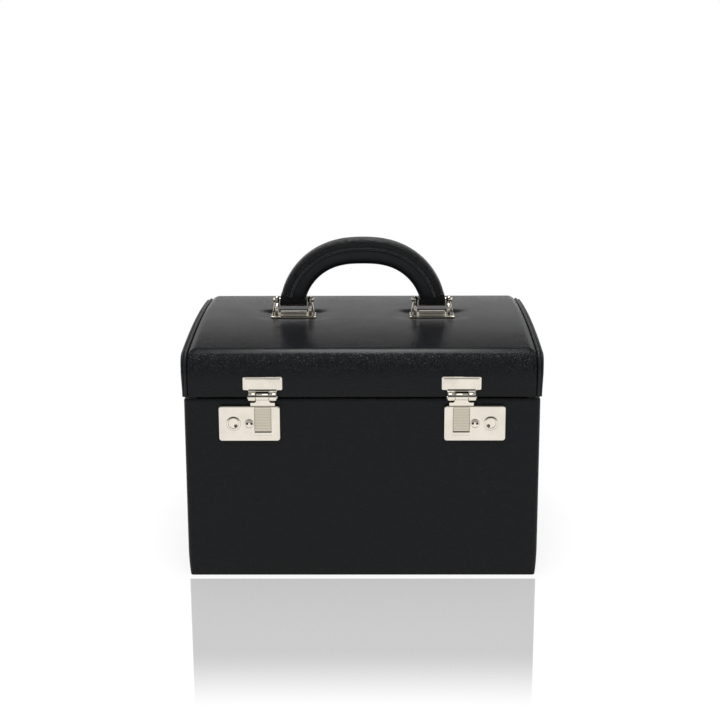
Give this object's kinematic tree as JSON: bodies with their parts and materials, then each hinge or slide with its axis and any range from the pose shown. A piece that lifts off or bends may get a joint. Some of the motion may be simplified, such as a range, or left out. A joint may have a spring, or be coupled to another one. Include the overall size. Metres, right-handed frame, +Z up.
{
  "type": "jewellery case",
  "caption": "Rectangular leather jewellery case with a hinged domed lid, padded carrying handle, nickel hasp locks, lift-out tray and mirror.",
  "frame": {"origin": "middle of the base, on the surface that the case stands on", "axes": "+Z up, -Y out of the front with the locks, +X to the viewer's right"},
  "size_m": [0.3004, 0.2587, 0.2705],
  "materials": {
    "case_leather": "black pebble-grained leather, semi-matt",
    "base_leather": "black leather, matt",
    "piping_leather": "black smooth leather over cord",
    "handle_leather": "black leather, softer sheen, stitched",
    "suede": "warm grey suede cloth",
    "plywood": "birch plywood, unfinished",
    "nickel": "polished nickel plate, warm white",
    "slide_nickel": "satin nickel with fine ribs",
    "zinc_steel": "zinc-plated steel",
    "spring_steel": "spring wire",
    "mirror": "silvered glass"
  },
  "bodies": {
    "case": {"base_leather": "base_leather", "body_leather": "case_leather", "front_board": "plywood", "back_board": "plywood", "side_boards": "plywood", "base_board": "plywood", "liner_panels": "suede", "floor_pad": "suede", "tray_ledges": "suede", "base_dividers": "suede", "lock_cases": "nickel", "lock_back_plates": "zinc_steel", "lock_collars": "nickel", "spanner_screws": "nickel", "slide_spring_left": "spring_steel", "slide_spring_right": "spring_steel", "body_hinge_leaves": "nickel", "hinge_pins": "nickel", "body_hinge_rivets": "nickel"},
    "lid": {"lid_shell": "plywood", "lid_end_boards": "plywood", "lid_cover": "case_leather", "lid_end_panels": "case_leather", "lid_piping": "piping_leather", "lid_lining": "suede", "mirror_bed": "suede", "mirror_glass": "mirror", "mirror_frame": "suede", "handle_brackets": "nickel", "handle_pins": "nickel", "bracket_screws": "zinc_steel", "bracket_backing_plates": "zinc_steel", "catch_plates": "nickel", "hasp_pins": "nickel", "lid_hinge_leaves": "nickel", "lid_hinge_rivets": "nickel"},
    "handle": {"handle_core": "handle_leather", "handle_strap": "handle_leather", "handle_loops": "handle_leather"},
    "hasp_left": {"hasp_left": "nickel"},
    "hasp_right": {"hasp_right": "nickel"},
    "slide_left": {"thumb_slide_left": "slide_nickel"},
    "slide_right": {"thumb_slide_right": "slide_nickel"},
    "key_left": {"key_plug_left": "nickel"},
    "key_right": {"key_plug_right": "nickel"},
    "tray": {"tray_floor": "suede", "tray_walls": "suede", "tray_dividers": "suede", "ring_rolls": "suede", "tray_tabs": "handle_leather"}
  },
  "joints": [
    {"name": "lid_hinge", "type": "hinge", "parent": "case", "child": "lid", "pos_m": [0, 0.1254, 0.157], "axis": [-1, 0, 0], "range_deg": [0, 95]},
    {"name": "handle_swing", "type": "hinge", "parent": "lid", "child": "handle", "pos_m": [0, 0.004, 0.2146], "axis": [1, 0, 0], "range_deg": [-93, 93]},
    {"name": "hasp_left_swing", "type": "hinge", "parent": "lid", "child": "hasp_left", "pos_m": [-0.0825, -0.1262, 0.159], "axis": [-1, 0, 0], "range_deg": [0, 115]},
    {"name": "hasp_right_swing", "type": "hinge", "parent": "lid", "child": "hasp_right", "pos_m": [0.0825, -0.1262, 0.159], "axis": [-1, 0, 0], "range_deg": [0, 115]},
    {"name": "slide_left_press", "type": "slide", "parent": "case", "child": "slide_left", "axis": [0, 0, -1], "range_m": [0, 0.003], "stiffness_N_per_m": 200, "springref_m": -0.003, "deforming": ["slide_spring_left"]},
    {"name": "slide_right_press", "type": "slide", "parent": "case", "child": "slide_right", "axis": [0, 0, -1], "range_m": [0, 0.003], "stiffness_N_per_m": 200, "springref_m": -0.003, "deforming": ["slide_spring_right"]},
    {"name": "key_left_turn", "type": "hinge", "parent": "case", "child": "key_left", "pos_m": [-0.107, -0.1245, 0.1365], "axis": [0, 1, 0], "range_deg": [0, 90]},
    {"name": "key_right_turn", "type": "hinge", "parent": "case", "child": "key_right", "pos_m": [0.107, -0.1245, 0.1365], "axis": [0, 1, 0], "range_deg": [0, 90]},
    {"name": "tray_lift", "type": "slide", "parent": "case", "child": "tray", "axis": [0, 0, 1], "range_m": [0, 0.026]}
  ]
}
